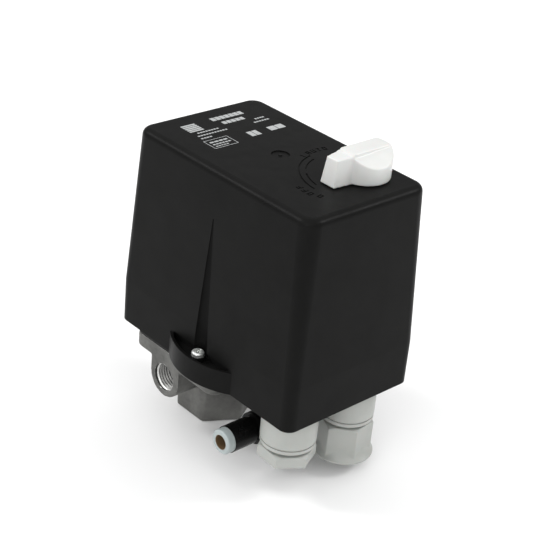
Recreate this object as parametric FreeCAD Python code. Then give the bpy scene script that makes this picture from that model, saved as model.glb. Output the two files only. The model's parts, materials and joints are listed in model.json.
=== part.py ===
import FreeCAD, Part
import math
import os

# Compressor pressure switch, in millimetres.
# Origin: centre of the bottom pressure port's mouth. +Z up, +X along the long side towards the cable glands.

vec = FreeCAD.Vector
upward = vec(0, 0, 1)
outline_tolerance = 0.01
overlap = 0.1

# Cross-recess screws, as shares of the head.
screw_rim_share = 0.5
screw_slot_depth_share = 0.45
screw_slot_length_share = 0.62
screw_slot_width_share = 0.14

# Cover: a tapered hood whose foot is upright.
cover_centre_x = 27.3
cover_length = 111.2
cover_width = 70.8
cover_height = 92.5
cover_bottom_z = 43.7
cover_top_z = cover_bottom_z + cover_height
cover_skirt_height = 19.8
cover_draft_deg = 2.04
cover_wall = 2.4
cover_foot_corner_radius = 4.8
cover_top_corner_radius = 6.7
cover_top_edge_radius = 3.3

# Screw lug pocket on both long sides, with the driver groove above it.
lug_arc_radius = 34.0
lug_reach = 6.8
lug_height = 10.2
lug_wall = 1.5
lug_floor_z = 7.0
lug_floor_thickness = 1.2
lug_seat_z = 9.2
lug_hollow_half_width = 6.0
lug_hollow_near_y = 30.0
lug_hollow_far_y = 40.2
lug_backing = 2.0
lug_rim_chamfer = 0.4
groove_foot_radius = 4.65
groove_foot_drop = 3.0
groove_top_radius = 0.3
groove_top_height = 72.0
groove_top_y = 33.5
groove_wall = 2.0
cover_screw_y = 36.6
cover_screw_head_radius = 2.75
cover_screw_head_height = 2.0
cover_screw_radius = 1.5
cover_screw_length = 8.0
cover_screw_seat_rim = 0.5
cover_screw_clearance = 0.1

# Knob and its shaft.
knob_x = cover_centre_x + 32.2
knob_y = 15.1
knob_gap = 0.4
knob_radius = 11.5
knob_height = 12.5
knob_tip_height = 11.0
knob_shoulder_height = 7.3
knob_shoulder_lean = 0.9
knob_bar_rise = 1.1
knob_bar_half_width = 4.2
knob_tip_foot_half_width = 4.0
knob_tip_top_half_width = 3.0
knob_pointer_reach = 19.8
knob_pointer_top_reach = 18.2
knob_root_foot_half_width = 4.9
knob_root_y = 9.0
knob_rim_round = 1.2
knob_socket_radius = 4.05
knob_hub_radius = 5.6
knob_hub_depth = 3.5
knob_hub_hole_radius = 6.0
shaft_radius = 4.0
shaft_foot_radius = 2.5
shaft_top_z = cover_top_z + 7.0
shaft_bush_radius = 3.5
shaft_bush_depth = 6.0
knob_step_deg = 90.0
cam_radius = 8.0
cam_disc_thickness = 2.7
cam_steps = 6
cam_backlash = 0.05

# Engraved switching marks and the moulding dimple on the cover's top.
arc_outer_radius = 25.5
arc_inner_radius = 22.6
arc_outer_span_deg = (192.0, 268.0)
arc_inner_spans_deg = ((196.0, 225.0), (235.0, 262.0))
arc_line_width = 0.7
engraving_depth = 0.35
letter_width = 1.9
letter_height = 2.8
letter_stroke = 0.55
letter_spacing_deg = 6.2
auto_start_deg = 188.5
auto_radius = 27.6
on_mark_deg = 197.5
off_start_deg = 273.0
off_radius = 30.0
off_mark_deg = 280.5
off_mark_radius = 28.5
dimple_radius = 3.9
dimple_depth = 0.5
dimple_pip_radius = 0.8

# Pressure flange, an aluminium casting.
hex_across_flats = 31.2
hex_height = 17.0
hex_corner_round = 2.5
shoulder_top_radius = 13.0
flange_top_z = 38.7
flange_plate_thickness = 7.0
flange_left_x = -22.2
flange_right_x = 32.6
flange_half_width = 31.5
flange_corner_radius = 5.0
flange_rim_round = 1.2
bottom_port_radius = 9.3
bottom_port_depth = 15.0
side_port_z = 25.0
side_port_boss_radius = 9.5
side_port_radius = 5.8
side_port_depth = 12.0
side_passage_radius = 3.0
pressure_chamber_radius = 20.0
pressure_chamber_depth = 2.4
diaphragm_radius = 23.0
diaphragm_thickness = 1.4
diaphragm_clearance = 0.1
diaphragm_roll_radius = 17.2
diaphragm_roll_wire = 0.9
flange_screw_radius = 2.5
flange_screw_x = (-16.0, 26.4)
flange_screw_y = 25.0
flange_screw_head_radius = 4.2
flange_screw_head_height = 4.0
flange_screw_sunk = 0.2
flange_screw_clearance = 0.2
flange_screw_head_clearance = 0.3
flange_screw_key = 3.0
flange_screw_key_depth = 1.8

# Base tray inside the cover's foot.
base_gap = 0.4
base_floor_bottom_z = cover_bottom_z - 1.0
base_floor_top_z = cover_bottom_z + 2.0
base_rim_top_z = cover_bottom_z + 8.0
base_rim_wall = 2.0
base_pad_inset = 0.6
base_ear_half_width = 4.6
base_ear_reach = 39.4
base_notch_half_width = 8.0

# Cable glands.
gland_x = cover_centre_x + 38.6
gland_y = 17.2
gland_radius = 12.0
gland_bottom_z = 24.8
gland_neck_radius = 9.4
gland_neck_top_z = 50.0
gland_passage_radius = 7.6
gland_thread_radius = 9.1
gland_thread_top_z = 36.0
gland_bead_height = 1.5
gland_groove_height = 0.8
gland_groove_depth = 0.6
gland_cable_radius = 6.5
gland_seal_low_z = 31.0
gland_seal_top_z = 35.8
gland_ring_low_z = 30.3
gland_ring_top_z = 30.9
gland_spigot_top_z = 30.2
gland_hex_across_flats = (22.0, 21.6)
gland_turn_deg = (-4.0, -20.0)
gland_hex_top_z = 22.9
gland_crown_height = 1.2
locknut_across_flats = 22.0
locknut_thickness = 3.5
front_hex_bottom_z = 17.4
rear_flare_top_z = 15.0
rear_flare_bottom_z = 6.1
rear_flare_radius = 13.8
rear_flare_lip = 0.9
rear_mouth_wall = 1.4

# Relief valve with a push-in tube port along -Y.
valve_x = 45.6
valve_z = 18.9
valve_front_y = -36.4
valve_barrel_radius = 6.0
valve_barrel_back_y = -20.9
valve_neck_back_y = -18.6
valve_neck_step = 0.7
valve_shoulder_back_y = 4.0
valve_passage_radius = 1.8
collar_radius = 5.6
collar_length = 9.2
collar_showing = 3.6
collar_recess = 1.4
collar_sleeve_radius = 4.3
collar_rim_round = 0.8
sleeve_bore_radius = 4.55
sleeve_bore_end_y = -23.5
tube_radius = 3.1
tube_stop_y = -19.0
grab_ring_low_y = -26.1
grab_ring_high_y = -25.6
grab_ring_radius = 4.5
grab_ring_teeth = 8
tube_seal_y = -24.6
tube_seal_radius = 3.85
tube_seal_wire = 0.62
stem_y = -3.0
stem_radius = 1.4
valve_stack_radius = 6.5
valve_shoulder_radius = 7.2
valve_chamber_radius = 4.6
valve_chamber_low_z = 17.0
valve_chamber_top_z = 32.0
valve_seat_low_z = 21.2
valve_seat_top_z = 22.2
valve_seat_hole_radius = 2.2
poppet_low_z = 22.4
poppet_top_z = 24.0
poppet_radius = 3.6
stem_head_radius = 3.4
stem_clearance = 0.8
stem_head_lift = 0.4
stem_head_top = 1.8
valve_spring_mean_radius = 2.9
valve_spring_wire = 0.7
valve_spring_turns = 5

# Mechanism: plunger, main spring, rocker.
plunger_disc_radius = 14.0
plunger_disc_top_z = 44.0
plunger_clearance = 0.4
plunger_neck_radius = 6.0
shoulder_top_z = 48.4
shoulder_height = 2.4
shoulder_radius = 11.4
seat_bottom_z = 56.6
seat_thickness = 2.4
seat_radius = 12.5
seat_boss_radius = 7.5
seat_boss_height = 2.0
spring_mean_radius = 9.6
spring_wire = 2.6
spring_end_gap = 0.02
spring_turns = 6.0
spring_top_z = 92.0
pivot_x = -19.0
pivot_z = 51.7
pivot_radius = 1.5
pin_overhang = 0.8
pin_head_height = 0.5
pin_head_radius = 2.2
rocker_arm_y = 9.6
rocker_arm_thickness = 1.6
rocker_arm_end_x = 13.0
rocker_boss_radius = 2.5
rocker_boss_lift = 0.8
rocker_nose_radius = 1.55
rocker_nose_lift = 0.3
rocker_low_z = 50.0
rocker_top_z = 55.0
rocker_web_start_x = 11.5
rocker_web_end_x = 53.5
rocker_web_half_width = 12.5
rocker_web_low_z = 51.2
rocker_web_thickness = 1.6
pin_fit = 0.04
running_fit = 0.05
bracket_y = 14.0
bracket_sheet = 2.0
bracket_half_length = 15.0
bracket_top_z = 106.0
bracket_pivot_x = -23.0
bracket_pivot_rise = 5.0
bracket_foot_reach = 10.0
bracket_screw_x = 13.0
bracket_screw_y = bracket_y + 6.0
bracket_screw_head_radius = 2.3
bracket_screw_head_height = 1.6
bracket_screw_radius = 1.25
bracket_screw_length = 3.4
bracket_hole_radius = 1.35
bracket_pilot_radius = 1.3
bracket_pilot_depth = 1.8
range_nut_thickness = 5.0
range_nut_half_length = 12.0
range_nut_corner = 1.5
range_screw_radius = 3.0
range_screw_low_z = 70.0
range_screw_head_radius = 5.2
range_screw_collar_radius = 5.0
range_screw_collar_height = 2.6
screw_end_play = 0.3

# Differential adjustment beside the main spring.
diff_x = 21.0
diff_spring_mean_radius = 3.4
diff_spring_wire = 1.0
diff_spring_turns = 7.0
diff_spring_top_z = 78.0
diff_screw_radius = 1.5
diff_screw_low_z = 68.0
diff_screw_head_radius = 3.4
diff_screw_collar_radius = 2.8
diff_screw_collar_height = 1.6
diff_nut_thickness = 4.0
diff_nut_half_length = 4.6
diff_nut_half_width = 5.0
diff_nut_corner = 1.0

# Contact block.
block_left_x = 27.6
block_right_x = 77.0
block_half_width = 29.0
block_bottom_z = 58.0
block_top_z = 84.0
block_wall = 2.0
pole_pitch = 18.0
bridge_centre_x = 50.0
fixed_tip_z = 66.0
contact_gap = 2.5
bridge_half_length = 11.0
bridge_half_width = 3.5
bridge_thickness = 1.4
rivet_radius = 2.0
rivet_height = 0.8
tip_offset_x = 8.0
terminal_offset_x = 15.6
terminal_hole_radius = 1.8
terminal_screw_head_radius = 2.9
terminal_screw_head_height = 2.2
terminal_screw_radius = 1.75
terminal_screw_length = 6.0
strip_near_x = 6.0
strip_far_x = 19.8
strip_half_width = 3.5
strip_top_drop = 0.8
strip_low_drop = 2.4
ledge_near_x = 8.5
ledge_far_x = 20.0
ledge_half_width = 4.0
block_leg_length = 4.0
block_leg_width = 2.6
block_leg_inset = 0.5
shaft_boss_radius = 5.2
shaft_boss_depth = 6.5
shaft_rib_half_width = 2.0
shaft_rib_start_y = 9.0
carrier_slot_half_width = 3.8
carrier_slot_half_length = 10.0
clamp_half_width = 3.3
clamp_half_thickness = 0.7

# Contact carrier and the slide that holds it off.
carrier_half_width = 2.6
carrier_bar_height = 3.0
carrier_front_y = -23.2
carrier_back_y = 22.4
carrier_window_half = 3.9
carrier_post_half = 5.1
carrier_top_z = 80.0
carrier_lintel = 1.6
carrier_foot_gap = 0.25
carrier_foot_half_width = 2.4
carrier_foot_near_y = 2.6
carrier_foot_far_y = 7.0
contact_spring_mean_radius = 1.9
contact_spring_wire = 0.6
contact_spring_turns = 5
slide_half_width = 3.4
slide_post_near_y = 23.6
slide_post_far_y = 26.0
slide_hook_y = 20.0
slide_hook_height = 2.2
slide_arm_low_y = 11.0
slide_arm_end_x = 58.0
slide_arm_height = 1.4
slide_arm_lift = 2.4
follower_offset_x = 6.0
follower_radius = 1.6

# Overload relay on top of the contact block.
relay_left_x = 29.0
relay_right_x = 72.0
relay_front_y = -29.0
relay_back_y = 4.0
relay_bottom_z = 84.4
relay_top_z = 114.0
relay_wall = 1.8
cam_disc_low_z = relay_bottom_z + 6.9
follower_top_z = relay_bottom_z + 6.6
dial_radius = 5.0
dial_height = 3.0
dial_stem_radius = 2.0
dial_stem_depth = 5.0
dial_flutes = 12
dial_flute_radius = 0.6
dial_flute_depth = 0.35
dial_slot_half_length = 3.6
dial_slot_half_width = 0.5
dial_x = 40.0
dial_y = -20.0
heater_count = 3
heater_inset = 9.0
heater_pitch = 12.5
strip_half_thickness = 0.5
strip_y = -6.0
bimetal_half_width = 3.0
bimetal_top_z = 109.5
heater_low_z = 90.0
heater_top_z = 102.0
heater_half_length = 5.0
heater_half_width = 2.4
heater_wall = 1.1
trip_slide_low_z = 107.0
trip_slide_top_z = 108.4

# Protective earth.
earth_screw_offset = 6.0
earth_screw_head_radius = 3.0
earth_screw_head_height = 2.2
earth_plate_half_length = 10.5
earth_plate_half_width = 3.8
earth_plate_thickness = 1.2
earth_hole_radius = 1.8


# Small helpers.

def block(low_x, high_x, low_y, high_y, low_z, high_z):
    return Part.makeBox(high_x - low_x, high_y - low_y, high_z - low_z, vec(low_x, low_y, low_z))


def rod(x, y, low_z, high_z, radius):
    return Part.makeCylinder(radius, high_z - low_z, vec(x, y, low_z), upward)


def rod_along_y(x, z, low_y, high_y, radius):
    return Part.makeCylinder(radius, high_y - low_y, vec(x, low_y, z), vec(0, 1, 0))


def cone(x, y, low_z, high_z, low_radius, high_radius):
    return Part.makeCone(low_radius, high_radius, high_z - low_z, vec(x, y, low_z), upward)


def rounded_wire(low_x, high_x, low_y, high_y, radius, z):
    """A rectangle with arc corners, at one height."""
    half_diagonal = radius * (1 - math.sqrt(0.5))
    edges = [
        Part.LineSegment(vec(low_x + radius, low_y, z), vec(high_x - radius, low_y, z)).toShape(),
        Part.Arc(
            vec(high_x - radius, low_y, z),
            vec(high_x - half_diagonal, low_y + half_diagonal, z),
            vec(high_x, low_y + radius, z),
        ).toShape(),
        Part.LineSegment(vec(high_x, low_y + radius, z), vec(high_x, high_y - radius, z)).toShape(),
        Part.Arc(
            vec(high_x, high_y - radius, z),
            vec(high_x - half_diagonal, high_y - half_diagonal, z),
            vec(high_x - radius, high_y, z),
        ).toShape(),
        Part.LineSegment(vec(high_x - radius, high_y, z), vec(low_x + radius, high_y, z)).toShape(),
        Part.Arc(
            vec(low_x + radius, high_y, z),
            vec(low_x + half_diagonal, high_y - half_diagonal, z),
            vec(low_x, high_y - radius, z),
        ).toShape(),
        Part.LineSegment(vec(low_x, high_y - radius, z), vec(low_x, low_y + radius, z)).toShape(),
        Part.Arc(
            vec(low_x, low_y + radius, z),
            vec(low_x + half_diagonal, low_y + half_diagonal, z),
            vec(low_x + radius, low_y, z),
        ).toShape(),
    ]
    return Part.Wire(edges)


def rounded_slab(low_x, high_x, low_y, high_y, low_z, high_z, radius):
    face = Part.Face(rounded_wire(low_x, high_x, low_y, high_y, radius, low_z))
    return face.extrude(vec(0, 0, high_z - low_z))


def polygon_prism(points, lift):
    wire = Part.makePolygon(points + [points[0]])
    return Part.Face(wire).extrude(lift)


def hexagon(x, y, low_z, high_z, across_flats, turn_deg):
    corner_radius = across_flats / math.sqrt(3)
    points = []
    for corner in range(6):
        angle = math.radians(turn_deg + 60 * corner)
        points.append(vec(x + corner_radius * math.cos(angle), y + corner_radius * math.sin(angle), low_z))
    return polygon_prism(points, vec(0, 0, high_z - low_z))


def joined(shapes):
    body = shapes[0]
    if len(shapes) > 1:
        body = body.fuse(shapes[1:]).removeSplitter()
    return body


def mirrored_in_y(shape):
    return shape.mirror(vec(0, 0, 0), vec(0, 1, 0))


def coil(x, y, low_z, high_z, mean_radius, wire, turns):
    """A round-wire compression spring between two heights."""
    half_wire = wire / 2
    rise = high_z - low_z - wire
    helix = Part.makeHelix(rise / turns, rise, mean_radius)
    profile = Part.Wire(Part.makeCircle(half_wire, vec(mean_radius, 0, 0), vec(0, 1, 0)))
    body = Part.Wire(helix.Edges).makePipeShell([profile], True, True)
    body.translate(vec(x, y, low_z + half_wire))
    return body


def screw(x, y, head_bottom_z, head_radius, head_height, shank_radius, shank_length):
    """A pan-head screw with a cross recess, pointing down."""
    head_top = head_bottom_z + head_height
    head = rod(x, y, head_bottom_z, head_top, head_radius)
    rim = [edge for edge in head.Edges if abs(edge.BoundBox.ZMin - head_top) < outline_tolerance]
    head = head.makeFillet(screw_rim_share * head_height, rim)
    shank = rod(x, y, head_bottom_z - shank_length, head_bottom_z + overlap, shank_radius)
    body = joined([head, shank])
    slot_depth = screw_slot_depth_share * head_height
    slot_length = screw_slot_length_share * head_radius
    slot_width = screw_slot_width_share * head_radius
    for half_x, half_y in ((slot_length, slot_width), (slot_width, slot_length)):
        body = body.cut(block(
            x - half_x, x + half_x, y - half_y, y + half_y, head_top - slot_depth, head_top + 1
        ))
    return body


# Cover, knob and their fasteners.

def cover_shell(wall):
    """The hood's outer solid, or the solid of its inside when wall is more than 0."""
    half_x = cover_length / 2 - wall
    half_y = cover_width / 2 - wall
    skirt_top = cover_bottom_z + cover_skirt_height
    top = cover_top_z - wall
    lean = (top - skirt_top) * math.tan(math.radians(cover_draft_deg))
    foot_radius = cover_foot_corner_radius - wall / 2
    skirt = rounded_slab(
        cover_centre_x - half_x, cover_centre_x + half_x, -half_y, half_y, cover_bottom_z,
        skirt_top, foot_radius
    )
    low_wire = rounded_wire(
        cover_centre_x - half_x, cover_centre_x + half_x, -half_y, half_y, foot_radius, skirt_top
    )
    high_wire = rounded_wire(
        cover_centre_x - half_x + lean, cover_centre_x + half_x - lean, -half_y + lean, half_y - lean,
        cover_top_corner_radius - wall / 2, top,
    )
    taper = Part.makeLoft([low_wire, high_wire], True, True)
    edge_radius = cover_top_edge_radius - wall / 2
    rim = [edge for edge in taper.Edges if abs(edge.BoundBox.ZMin - top) < outline_tolerance]
    taper = taper.makeFillet(edge_radius, rim)
    return skirt.fuse(taper).removeSplitter()


def groove_cone(extra):
    """Screwdriver groove: a slim cone that leans back with the face."""
    foot_z = cover_bottom_z + lug_height - groove_foot_drop
    tip_z = cover_bottom_z + groove_top_height
    rings = []
    for centre_y, z, radius in (
        (-cover_screw_y, foot_z, groove_foot_radius + extra),
        (-groove_top_y, tip_z, groove_top_radius + extra),
    ):
        rings.append(Part.Wire(Part.makeCircle(radius, vec(cover_centre_x, centre_y, z), upward)))
    return Part.makeLoft(rings, True, True)


def lug_crescent(inset, low_z, high_z):
    """The bulging screw pocket seen from above, on the -Y side."""
    centre_y = -(cover_width / 2 + lug_reach) + lug_arc_radius
    drum = rod(cover_centre_x, centre_y, low_z, high_z, lug_arc_radius - inset)
    return drum.common(block(
        cover_centre_x - lug_arc_radius, cover_centre_x + lug_arc_radius,
        -cover_width / 2 - lug_arc_radius, -cover_width / 2 + lug_backing, low_z, high_z
    ))


def lug_chamfer():
    """Tool that breaks the pocket's upper inner edge."""
    top_z = cover_bottom_z + lug_height
    centre_y = -(cover_width / 2 + lug_reach) + lug_arc_radius
    inner = lug_arc_radius - lug_wall
    tool = cone(cover_centre_x, centre_y, top_z - lug_rim_chamfer, top_z + lug_rim_chamfer,
                inner, inner + 2 * lug_rim_chamfer)
    return tool.common(block(
        cover_centre_x - lug_arc_radius, cover_centre_x + lug_arc_radius,
        -cover_width / 2 - lug_arc_radius, -cover_width / 2 - lug_rim_chamfer, top_z - 1, top_z + 1
    ))


def arc_groove(radius, start_deg, end_deg):
    """One engraved ring segment in the cover's top."""
    low_z = cover_top_z - engraving_depth
    centre = vec(knob_x, knob_y, low_z)
    sweep = end_deg - start_deg
    outer = Part.makeCylinder(radius + arc_line_width / 2, 2, centre, upward, sweep)
    inner = Part.makeCylinder(radius - arc_line_width / 2, 2, centre, upward, sweep)
    ring = outer.cut(inner)
    ring.rotate(centre, upward, start_deg)
    return ring


def stroke(name):
    """One engraved stroke of a plain block letter, centred on the letter."""
    half_width = letter_width / 2
    half_height = letter_height / 2
    half_line = letter_stroke / 2
    centre_x = {"left": half_line - half_width, "right": half_width - half_line}.get(name, 0)
    centre_y = {"foot": half_line - half_height, "head": half_height - half_line}.get(name, 0)
    half_x = half_line
    half_y = half_height
    if name in ("foot", "waist", "head"):
        half_x = half_width
        half_y = half_line
    return block(centre_x - half_x, centre_x + half_x, centre_y - half_y, centre_y + half_y, 0, 1)


letter_strokes = {
    "A": ("left", "right", "head", "waist"),
    "U": ("left", "right", "foot"),
    "T": ("stem", "head"),
    "O": ("left", "right", "head", "foot"),
    "F": ("left", "head", "waist"),
    "I": ("stem",),
}


def word_grooves(word, start_deg, radius):
    """Letters read clockwise round the knob's axis with their heads outwards."""
    low_z = cover_top_z - engraving_depth
    grooves = []
    for index, letter in enumerate(word):
        angle_deg = start_deg - letter_spacing_deg * index
        angle = math.radians(angle_deg)
        centre = vec(knob_x + radius * math.cos(angle), knob_y + radius * math.sin(angle), low_z)
        for name in letter_strokes[letter]:
            groove = stroke(name)
            groove.rotate(vec(0, 0, 0), upward, angle_deg - 90)
            groove.translate(centre)
            grooves.append(groove)
    return grooves


def cover():
    foot_z = cover_bottom_z
    shell = cover_shell(0)
    inside = cover_shell(cover_wall)
    hub_hole = rod(knob_x, knob_y, cover_top_z - cover_wall - 1, cover_top_z + 1, knob_hub_hole_radius)
    for side in (1, -1):
        lug = lug_crescent(0, foot_z, foot_z + lug_height)
        back = groove_cone(groove_wall)
        pocket = lug_crescent(lug_wall, foot_z + lug_floor_z, foot_z + lug_height + 1)
        seat = rod(
            cover_centre_x, -cover_screw_y, foot_z + lug_floor_z - lug_floor_thickness, foot_z + lug_seat_z,
            cover_screw_head_radius + cover_screw_seat_rim,
        )
        groove = groove_cone(0)
        screw_hole = rod(
            cover_centre_x, -cover_screw_y, foot_z, foot_z + lug_seat_z + 1,
            cover_screw_radius + cover_screw_clearance
        )
        hollow = block(
            cover_centre_x - lug_hollow_half_width, cover_centre_x + lug_hollow_half_width,
            -lug_hollow_far_y, -lug_hollow_near_y, foot_z - 1, foot_z + lug_floor_z - lug_floor_thickness
        )
        chamfer = lug_chamfer()
        if side < 0:
            chamfer = mirrored_in_y(chamfer)
            lug, back, pocket, seat = [mirrored_in_y(shape) for shape in (lug, back, pocket, seat)]
            groove, screw_hole, hollow = [mirrored_in_y(shape) for shape in (groove, screw_hole, hollow)]
        shell = shell.fuse(lug).cut(pocket).cut(groove).cut(chamfer)
        shell = shell.fuse(seat.cut(screw_hole))
        inside = inside.cut(back)
        inside = inside.fuse(hollow).fuse(screw_hole)
    body = shell.cut(inside).cut(hub_hole)
    marks = [arc_groove(arc_outer_radius, *arc_outer_span_deg)]
    for start_deg, end_deg in arc_inner_spans_deg:
        marks.append(arc_groove(arc_inner_radius, start_deg, end_deg))
    marks += word_grooves("AUTO", auto_start_deg, auto_radius)
    marks += word_grooves("I", on_mark_deg, auto_radius)
    marks += word_grooves("OFF", off_start_deg, off_radius)
    marks += word_grooves("O", off_mark_deg, off_mark_radius)
    dimple = rod(cover_centre_x, 0, cover_top_z - dimple_depth, cover_top_z + 1, dimple_radius)
    floor_z = cover_top_z - dimple_depth
    pip = rod(cover_centre_x, 0, floor_z - overlap, cover_top_z - overlap, dimple_pip_radius)
    return body.cut(marks + [dimple]).fuse(pip)


def cover_screws():
    seat_z = cover_bottom_z + lug_seat_z
    screws = []
    for y in (-cover_screw_y, cover_screw_y):
        screws.append(screw(
            cover_centre_x, y, seat_z, cover_screw_head_radius, cover_screw_head_height,
            cover_screw_radius, cover_screw_length,
        ))
    return Part.makeCompound(screws)


def knob_pointer_ring(z, tip_half_width, reach, root_half_width):
    """Outline of the grip bar at one height."""
    points = [
        vec(knob_x - tip_half_width, knob_y - reach, z),
        vec(knob_x + tip_half_width, knob_y - reach, z),
        vec(knob_x + root_half_width, knob_y - knob_root_y, z),
        vec(knob_x + root_half_width, knob_y, z),
        vec(knob_x - root_half_width, knob_y, z),
        vec(knob_x - root_half_width, knob_y - knob_root_y, z),
    ]
    return Part.makePolygon(points + [points[0]])


def rotary_knob():
    """Round body with a raised grip bar that runs out into a pointer along -Y."""
    foot_z = cover_top_z + knob_gap
    top_z = foot_z + knob_height
    body = rod(knob_x, knob_y, foot_z, top_z, knob_radius)
    rim = [edge for edge in body.Edges if abs(edge.BoundBox.ZMin - top_z) < outline_tolerance]
    body = body.makeFillet(knob_rim_round, rim)
    reach = knob_radius + 2
    for side in (-1, 1):
        inner_x = knob_x + side * knob_bar_half_width
        outer_x = knob_x + side * knob_radius
        rings = []
        for y, lean in ((knob_y - reach, -knob_shoulder_lean), (knob_y + reach, knob_shoulder_lean)):
            points = [
                vec(inner_x, y, top_z - knob_bar_rise + lean / 2),
                vec(outer_x, y, foot_z + knob_shoulder_height + lean),
                vec(outer_x + side * reach, y, foot_z + knob_shoulder_height + lean),
                vec(outer_x + side * reach, y, top_z + reach),
                vec(inner_x, y, top_z + reach),
            ]
            rings.append(Part.makePolygon(points + [points[0]]))
        body = body.cut(Part.makeLoft(rings, True, True))
    pointer = Part.makeLoft([
        knob_pointer_ring(foot_z, knob_tip_foot_half_width, knob_pointer_reach, knob_root_foot_half_width),
        knob_pointer_ring(top_z, knob_tip_top_half_width, knob_pointer_top_reach, knob_bar_half_width),
    ], True, True)
    tip_y = knob_y - knob_pointer_reach
    slope = [
        vec(knob_x - reach, tip_y - 1, foot_z + knob_tip_height),
        vec(knob_x - reach, knob_y, top_z),
        vec(knob_x - reach, knob_y, top_z + reach),
        vec(knob_x - reach, tip_y - 1, top_z + reach),
    ]
    pointer = pointer.cut(polygon_prism(slope, vec(2 * reach, 0, 0)))
    hub = rod(knob_x, knob_y, cover_top_z - knob_hub_depth, foot_z + 2 * overlap, knob_hub_radius)
    socket = rod(
        knob_x, knob_y, cover_top_z - knob_hub_depth - 1, shaft_top_z + knob_gap, knob_socket_radius
    )
    return joined([body, pointer, hub]).cut(socket)


def knob_shaft():
    """Shaft with a stepped face cam under its disc."""
    disc_bottom = cam_disc_low_z
    lift = contact_gap - cam_backlash
    body = [
        rod(knob_x, knob_y, disc_bottom, shaft_top_z, shaft_radius),
        rod(knob_x, knob_y, disc_bottom, disc_bottom + cam_disc_thickness, cam_radius),
        rod(knob_x, knob_y, block_top_z - 5, disc_bottom + 2 * overlap, shaft_foot_radius),
    ]
    step = knob_step_deg / cam_steps
    for index in range(1, cam_steps + 1):
        drop = lift * index / cam_steps
        centre = vec(knob_x, knob_y, disc_bottom - drop)
        ramp = Part.makeCylinder(cam_radius, drop + 2 * overlap, centre, upward, step)
        ramp.rotate(centre, upward, 180 + step * (index + 1))
        body.append(ramp)
    return joined(body)


def shaft_bush():
    low_z = block_top_z - shaft_bush_depth
    outer = rod(knob_x, knob_y, low_z, block_top_z - 0.5, shaft_bush_radius)
    return outer.cut(rod(knob_x, knob_y, low_z - 1, block_top_z, shaft_foot_radius + running_fit))


# Pressure flange, base and what they clamp.

def pressure_flange():
    plate_bottom = flange_top_z - flange_plate_thickness
    hexagon_body = hexagon(0, 0, 0, hex_height, hex_across_flats, 0)
    corners = [edge for edge in hexagon_body.Edges if edge.BoundBox.ZLength > hex_height / 2]
    hexagon_body = hexagon_body.makeFillet(hex_corner_round, corners)
    shoulder = cone(
        0, 0, hex_height - overlap, plate_bottom, hex_across_flats / 2 - overlap, shoulder_top_radius
    )
    plate = rounded_slab(
        flange_left_x, flange_right_x, -flange_half_width, flange_half_width, plate_bottom, flange_top_z,
        flange_corner_radius,
    )
    lower_rim = [edge for edge in plate.Edges if edge.BoundBox.ZMax < plate_bottom + outline_tolerance]
    plate = plate.makeFillet(flange_rim_round, lower_rim)
    arm = rod_along_y(0, side_port_z, -flange_half_width, flange_half_width, side_port_boss_radius)
    web = block(
        -side_port_boss_radius, side_port_boss_radius, -flange_half_width, flange_half_width,
        side_port_z, plate_bottom + 2
    )
    body = joined([hexagon_body, shoulder, plate, arm, web])
    holes = [
        rod(0, 0, -1, bottom_port_depth, bottom_port_radius),
        rod(0, 0, bottom_port_depth - 1, flange_top_z, side_passage_radius),
        rod_along_y(
            0, side_port_z, -flange_half_width - 1, -flange_half_width + side_port_depth, side_port_radius
        ),
        rod_along_y(
            0, side_port_z, flange_half_width - side_port_depth, flange_half_width + 1, side_port_radius
        ),
        rod_along_y(0, side_port_z, -flange_half_width, flange_half_width, side_passage_radius),
        rod(
            0, 0, flange_top_z - diaphragm_thickness, flange_top_z + 1,
            diaphragm_radius + diaphragm_clearance
        ),
        rod(
            0, 0, flange_top_z - diaphragm_thickness - pressure_chamber_depth, flange_top_z,
            pressure_chamber_radius
        ),
    ]
    for x in flange_screw_x:
        for y in (-flange_screw_y, flange_screw_y):
            holes.append(rod(
                x, y, plate_bottom - 1, flange_top_z + 1, flange_screw_radius + flange_screw_clearance
            ))
            holes.append(rod(
                x, y, plate_bottom - 1, plate_bottom + flange_screw_sunk + flange_screw_head_height,
                flange_screw_head_radius + flange_screw_head_clearance,
            ))
    return body.cut(holes)


def diaphragm():
    """Moulded rubber disc with a shallow rolled ring."""
    low_z = flange_top_z - diaphragm_thickness
    disc = rod(0, 0, low_z, flange_top_z, diaphragm_radius)
    ring = Part.makeTorus(diaphragm_roll_radius, diaphragm_roll_wire, vec(0, 0, low_z), upward)
    return disc.fuse(ring)


def flange_screws():
    """Four cap screws pushed up through the flange plate into the base, sunk in its underside."""
    head_low = flange_top_z - flange_plate_thickness + flange_screw_sunk
    head_top = head_low + flange_screw_head_height
    screws = []
    for x in flange_screw_x:
        for y in (-flange_screw_y, flange_screw_y):
            head = rod(x, y, head_low, head_top, flange_screw_head_radius)
            shank = rod(x, y, head_top - overlap, base_floor_top_z - 0.5, flange_screw_radius)
            key = hexagon(x, y, head_low - 1, head_low + flange_screw_key_depth, flange_screw_key, 0)
            screws.append(joined([head, shank]).cut(key))
    return Part.makeCompound(screws)


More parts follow.
